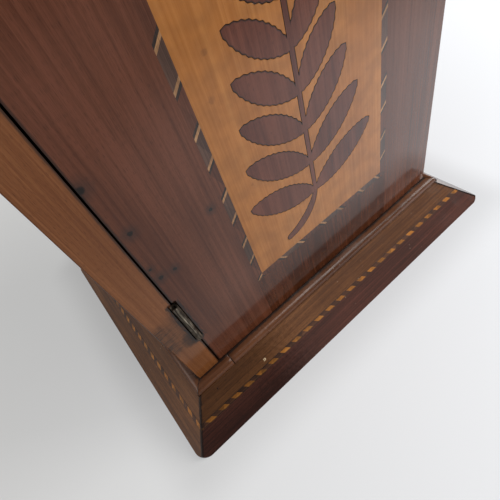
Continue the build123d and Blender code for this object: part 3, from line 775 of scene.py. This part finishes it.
def slotted_screws(node, body):
    """The CAD screws, with a slot sawn across each head and turned as the screw came to rest."""
    group = bmesh.new()
    group.from_mesh(nodes[node].data)
    bmesh.ops.remove_doubles(group, verts=group.verts, dist=merge_reach)
    flat = math.radians(1)
    bmesh.ops.dissolve_limit(group, angle_limit=flat, verts=group.verts, edges=group.edges)
    heads = [face for face in group.faces if face.calc_area() > smallest_head]
    places = [(head.calc_center_median(), head.normal.copy()) for head in heads]
    for centre, normal in places:
        turn = Matrix.Rotation(random.uniform(0, math.pi), 3, normal)
        across = turn @ normal.orthogonal().normalized()
        for side in (-1, 1):
            top = [f for f in group.faces if f.normal.dot(normal) > 0.99]
            top = [f for f in top if (f.calc_center_median() - centre).length < head_radius]
            around = [*top, *{e for f in top for e in f.edges}, *{v for f in top for v in f.verts}]
            cut = centre + across * side * slot_width / 2
            bmesh.ops.bisect_plane(group, geom=around, plane_co=cut, plane_no=across)
        strip = [
            face
            for face in group.faces
            if (face.calc_center_median() - centre).length < slot_width
            and face.normal.dot(normal) > 0.99
        ]
        sunk = bmesh.ops.extrude_face_region(group, geom=strip)["geom"]
        lowered = [item for item in sunk if isinstance(item, bmesh.types.BMVert)]
        bmesh.ops.translate(group, verts=lowered, vec=normal * -slot_depth)
        lids = [face for face in strip if face.is_valid]
        bmesh.ops.delete(group, geom=lids, context="FACES_ONLY")
    finished_mesh(f"{node}_slotted", group, old_brass, body, node)


slotted_screws("hinge_frame_screws", "carcass")
slotted_screws("strike_screws", "carcass")
slotted_screws("hinge_door_screws", "door")
slotted_screws("lock_screws", "door")
bolt_steel = metal(
    "lock_steel", steel_tones, along="x", roughness=(0.3, 0.45), drawn=0.4, relief=0.15
)
dress(bolt_steel, "lock_bolt")


# Studio.
# A plain pale floor that keeps the box's shadow, soft light from above and from the right, and the
# camera at the photograph's viewing angle. The right of the floor is the brighter side.
# The floor's glow is painted light: brighter towards the right, with a painted shadow round the
# plinth and a painted pool of light that only glossy rays see.
floor_size = 3.0
floor_lit = (0.55, 0.56, 0.58)
floor_seen = (0.32, 0.32, 0.32)
shade_side_light = (0.335, 0.335, 0.33)
lamp_side_light = (0.60, 0.62, 0.66)
pool_x = 0.22
pool_y = -0.14
pool_inner = 0.03
pool_outer = 0.42
pool_strength = 1.75
contact_shadow_width = 30 * mm
mirrored_shadow_width = 25 * mm

floor_mesh = bmesh.new()
bmesh.ops.create_grid(floor_mesh, x_segments=1, y_segments=1, size=floor_size)
floor_data = bpy.data.meshes.new("floor")
floor_mesh.to_mesh(floor_data)
floor_mesh.free()
floor = bpy.data.objects.new("floor", floor_data)
bpy.context.scene.collection.objects.link(floor)
floor_material = bpy.data.materials.new("floor_paper")
floor_material.use_nodes = True
floor_tree = floor_material.node_tree
floor_shader = floor_tree.nodes["Principled BSDF"]
floor_place = put(floor_tree, "TexCoord").outputs["Object"]
floor_x, floor_y, _ = place_parts(floor_tree, floor_place)

# The floor's colour: white paper for the light that it throws back, darker where it is looked at.
path = put(floor_tree, "LightPath").outputs
direct = math_of(floor_tree, "MAXIMUM", path["Is Camera Ray"], path["Is Transmission Ray"])
seen = math_of(floor_tree, "MAXIMUM", direct, path["Is Glossy Ray"])
floor_colour = blend_colour(floor_tree, seen, floor_lit, floor_seen)
# Painted light: the floor's glow is brighter towards the window lamp at the right.
toward_light = weighed(floor_tree, (floor_x, 0.8), (floor_y, -0.6))
lit_share = between(floor_tree, toward_light, -0.25, 0.40)
painted_light = blend_colour(floor_tree, lit_share, shade_side_light, lamp_side_light)

# A painted pool of light at the right, seen only by glossy rays, which the polished door mirrors.
from_pool = reach(
    floor_tree,
    math_of(floor_tree, "SUBTRACT", floor_x, pool_x),
    math_of(floor_tree, "SUBTRACT", floor_y, pool_y),
)
painted_pool = between(floor_tree, from_pool, pool_inner, pool_outer, pool_strength, 0.0)
painted_pool = math_of(floor_tree, "MULTIPLY", path["Is Glossy Ray"], painted_pool)

# Painted shadow: the floor is darker close to the plinth, both as seen and as mirrored.
_, (plinth_half_width, plinth_half_depth, _) = cad_box
out_of_box = reach(
    floor_tree,
    away(floor_tree, floor_x, 0.0, plinth_half_width),
    away(floor_tree, floor_y, 0.0, plinth_half_depth),
)
mirrored_shadow = between(floor_tree, out_of_box, 0.0, mirrored_shadow_width, 0.45, 1.0)
contact_shadow = between(floor_tree, out_of_box, 0.0, contact_shadow_width, 0.75, 1.0)
painted_glow = weighed(floor_tree, (direct, contact_shadow), (painted_pool, mirrored_shadow))
floor_tree.links.new(floor_colour, floor_shader.inputs["Base Color"])
floor_tree.links.new(painted_light, floor_shader.inputs["Emission Color"])
floor_tree.links.new(painted_glow, floor_shader.inputs["Emission Strength"])
floor_shader.inputs["Roughness"].default_value = 0.9
floor_data.materials.append(floor_material)

sky_plain = 0.40
sky_seen = 0.95
sky_mirrored = 0.13
world = bpy.data.worlds.new("studio")
world.use_nodes = True
bpy.context.scene.world = world
sky_tree = world.node_tree
sky = sky_tree.nodes["Background"]
sky.inputs[0].default_value = (0.98, 0.99, 1.0, 1.0)
sky_path = put(sky_tree, "LightPath").outputs
sky_change = weighed(
    sky_tree,
    (sky_path["Is Camera Ray"], sky_seen - sky_plain),
    (sky_path["Is Glossy Ray"], sky_mirrored - sky_plain),
)
sky_tree.links.new(math_of(sky_tree, "ADD", sky_change, sky_plain), sky.inputs[1])


def soft_light(name, place, target, size, power, colour):
    """A square soft light that faces a point."""
    lamp = bpy.data.lights.new(name, "AREA")
    lamp.size = size
    lamp.energy = power
    lamp.color = colour
    made = bpy.data.objects.new(name, lamp)
    bpy.context.scene.collection.objects.link(made)
    made.location = place
    made.rotation_euler = (Vector(target) - Vector(place)).to_track_quat("-Z", "Y").to_euler()


soft_light(
    "window",
    place=(0.98, -0.40, 0.47),
    target=(0, 0, 0.10),
    size=0.6,
    power=13.5,
    colour=(1.0, 0.985, 0.96),
)
soft_light(
    "ceiling",
    place=(0.42, -0.55, 1.15),
    target=(0, 0, 0.10),
    size=0.5,
    power=3.2,
    colour=(1.0, 0.98, 0.96),
)
soft_light(
    "room",
    place=(-1.3, 0.2, 0.9),
    target=(0, 0, 0.05),
    size=1.2,
    power=7.0,
    colour=(1.0, 0.98, 0.95),
)

# The camera has the lens, place and turn that were fitted to the photograph's vanishing points.
camera_data = bpy.data.cameras.new("camera")
camera = bpy.data.objects.new("camera", camera_data)
bpy.context.scene.collection.objects.link(camera)
camera_data.lens = 27.19
camera_data.sensor_width = 36.0
camera_data.shift_x = -0.00216
camera_data.shift_y = 0.00162
camera_data.clip_start = 0.01
camera_place = (-0.082346, -0.185630, 0.227073)
right = Vector((0.74908149, -0.61217861, -0.25320796))
down = Vector((-0.62069986, -0.51497075, -0.59121638))
ahead = Vector((0.23153533, 0.60003539, -0.76573424))
turn = Matrix((right, -down, -ahead)).transposed()
camera.matrix_world = Matrix.Translation(camera_place) @ turn.to_4x4()
bpy.context.scene.camera = camera
bpy.context.scene.view_settings.view_transform = "Standard"
